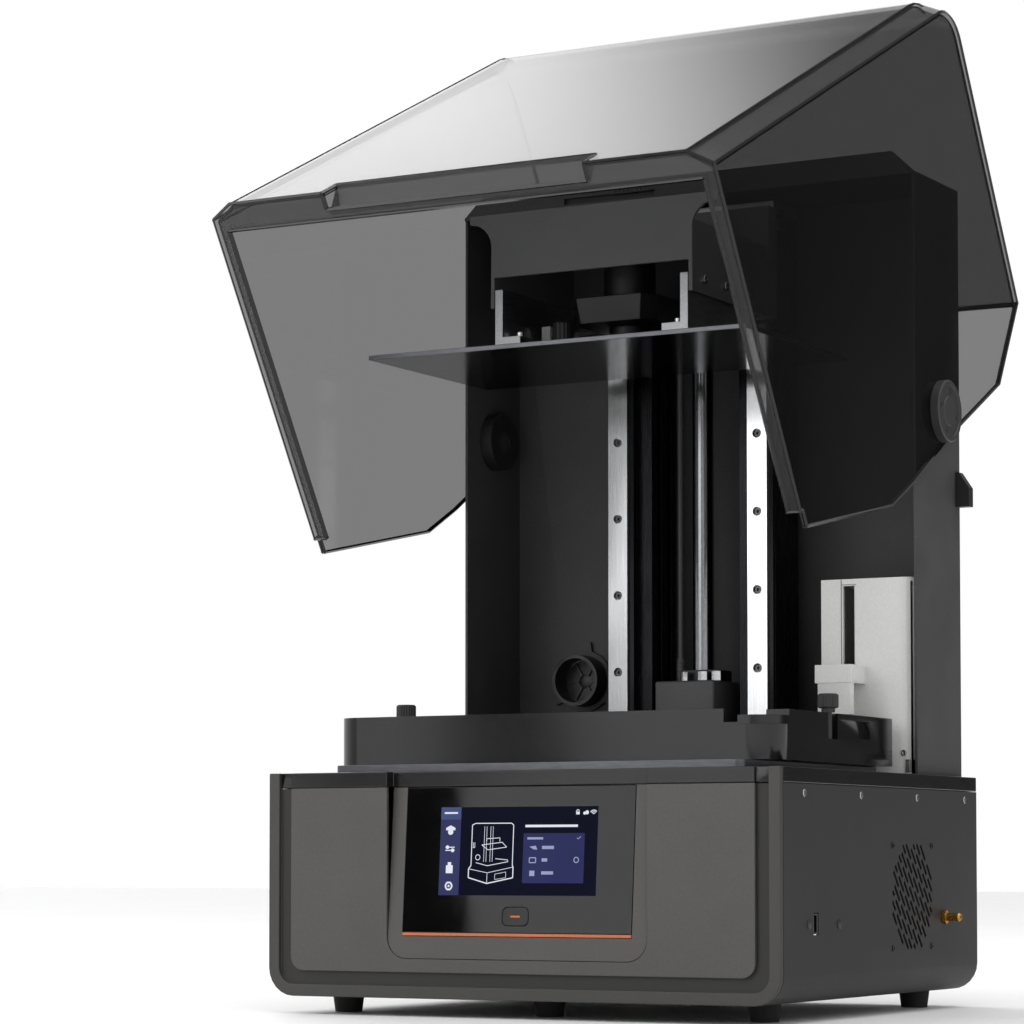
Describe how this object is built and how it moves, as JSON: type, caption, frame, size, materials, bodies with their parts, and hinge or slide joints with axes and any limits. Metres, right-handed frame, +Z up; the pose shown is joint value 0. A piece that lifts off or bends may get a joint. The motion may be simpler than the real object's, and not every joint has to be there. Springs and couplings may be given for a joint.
{
  "type": "resin printer",
  "caption": "Desktop resin printer: hinged smoke cover held open, build plate on twin rails over a removable vat, touch screen in the front of a boxy base.",
  "frame": {"origin": "floor level, under the middle of the open machine", "axes": "+X to the machine's right as seen from the front, -Y towards the user, +Z up"},
  "size_m": [0.4115, 0.5526, 0.7447],
  "materials": {
    "side_paint": "dark grey powder coat, low sheen",
    "front_paint": "mid grey powder coat, fine grain",
    "touch_glass": "black-backed cover glass, polished",
    "orange_trim": "orange strip, satin",
    "button_black": "black push button",
    "deck_gloss": "gloss black moulding",
    "seat_metal": "dark anodised, satin",
    "mask_glass": "dark screen under glass",
    "bare_aluminium": "plain aluminium",
    "circuit_board": "green board with black parts",
    "zinc_case": "plated sheet case",
    "fan_plastic": "black moulding",
    "socket_plastic": "black moulding",
    "port_steel": "plated steel shell",
    "brass": "gold-plated brass",
    "foot_rubber": "black rubber",
    "column_paint": "dark grey powder coat, fine speckle",
    "black_anodised": "black anodised extrusion",
    "ground_steel": "ground and polished steel",
    "motor_cover": "dark grey cover",
    "bearing_steel": "machined steel",
    "black_plastic": "black moulding, satin",
    "white_plastic": "white moulding, satin",
    "smoke_acrylic": "smoke-tinted clear acrylic, polished",
    "cap_plastic": "dark grey moulding",
    "block_steel": "blackened steel",
    "arm_paint": "dark grey powder coat",
    "clear_anodised": "clear anodised",
    "plate_aluminium": "ground face, dark reflection",
    "vat_anodised": "black anodised, satin",
    "film": "clear stretched film",
    "knob_plastic": "black knurled head"
  },
  "bodies": {
    "base": {"base_shell": "side_paint", "rear_panel": "side_paint", "front_frame": "front_paint", "front_panel": "front_paint", "screen_housing": "front_paint", "touch_glass": "touch_glass", "accent_strip": "orange_trim", "top_plate": "deck_gloss", "lcd_seat": "seat_metal", "mask_screen": "mask_glass", "light_engine": "bare_aluminium", "upper_bearing": "bare_aluminium", "limit_tab": "bare_aluminium", "mainboard": "circuit_board", "power_supply": "zinc_case", "fan_frame": "fan_plastic", "inlet_socket": "socket_plastic", "usb_port": "port_steel", "antenna_connector": "brass", "foot_front_left": "foot_rubber", "foot_front_middle": "foot_rubber", "foot_front_right": "foot_rubber", "foot_rear_left": "foot_rubber", "foot_rear_middle": "foot_rubber", "foot_rear_right": "foot_rubber", "tower_shell": "column_paint", "pillar_left": "black_anodised", "pillar_right": "black_anodised", "rail_left": "ground_steel", "rail_right": "ground_steel", "motor_block": "motor_cover", "lower_bearing": "bearing_steel", "air_duct": "black_plastic", "hinge_boss_left": "black_plastic", "hinge_boss_right": "black_plastic", "cover_stop": "black_plastic", "cable_tube": "black_plastic", "sensor_housing": "white_plastic"},
    "cover": {"cover_shell": "smoke_acrylic", "cover_grip": "smoke_acrylic", "hinge_cap_left": "cap_plastic", "hinge_cap_right": "cap_plastic"},
    "carriage": {"carriage_plate": "arm_paint", "arm_bracket": "arm_paint", "plate_angle_left": "clear_anodised", "plate_angle_right": "clear_anodised", "build_plate": "plate_aluminium", "rail_block_left": "block_steel", "rail_block_right": "block_steel"},
    "lead_screw": {"ball_screw": "ground_steel"},
    "vat": {"resin_vat": "vat_anodised", "release_film": "film"},
    "knob_left": {"thumb_screw_left": "knob_plastic"},
    "knob_right": {"thumb_screw_right": "knob_plastic"},
    "resin_sensor": {"sensor_slider": "white_plastic"},
    "button": {"power_button": "button_black"},
    "rocker": {"rocker_switch": "socket_plastic"},
    "fan_wheel": {"fan_rotor": "fan_plastic"}
  },
  "joints": [
    {"name": "cover_hinge", "type": "hinge", "parent": "base", "child": "cover", "pos_m": [-0.003, 0.112, 0.438], "axis": [-1, 0, 0], "range_deg": [-58, 5]},
    {"name": "z_slide", "type": "slide", "parent": "base", "child": "carriage", "axis": [0, 0, 1], "range_m": [-0.29, 0.008]},
    {"name": "screw_turn", "type": "hinge", "parent": "base", "child": "lead_screw", "pos_m": [-0.003, 0.107, 0.42], "axis": [0, 0, 1], "range_deg": [-10442, 290]},
    {"name": "vat_slide", "type": "slide", "parent": "base", "child": "vat", "axis": [0, -1, 0], "range_m": [0, 0.12]},
    {"name": "knob_left_turn", "type": "hinge", "parent": "vat", "child": "knob_left", "pos_m": [-0.1736, -0.048, 0.21], "axis": [0, 0, 1], "continuous": true},
    {"name": "knob_right_turn", "type": "hinge", "parent": "vat", "child": "knob_right", "pos_m": [0.1676, -0.048, 0.21], "axis": [0, 0, 1], "continuous": true},
    {"name": "sensor_lift", "type": "slide", "parent": "base", "child": "resin_sensor", "axis": [0, 0, 1], "range_m": [0, 0.058]},
    {"name": "button_press", "type": "slide", "parent": "base", "child": "button", "axis": [0, 0.9971, -0.0758], "range_m": [0, 0.001], "stiffness_N_per_m": 600},
    {"name": "rocker_tip", "type": "hinge", "parent": "base", "child": "rocker", "pos_m": [-0.123, 0.156, 0.0765], "axis": [1, 0, 0], "range_deg": [-14, 0]},
    {"name": "fan_spin", "type": "hinge", "parent": "base", "child": "fan_wheel", "pos_m": [0.182, 0.0353, 0.0824], "axis": [1, 0, 0], "continuous": true}
  ],
  "couplings": [
    {"joint": "screw_turn", "follows": "z_slide", "rad_per_m": 628.32}
  ]
}
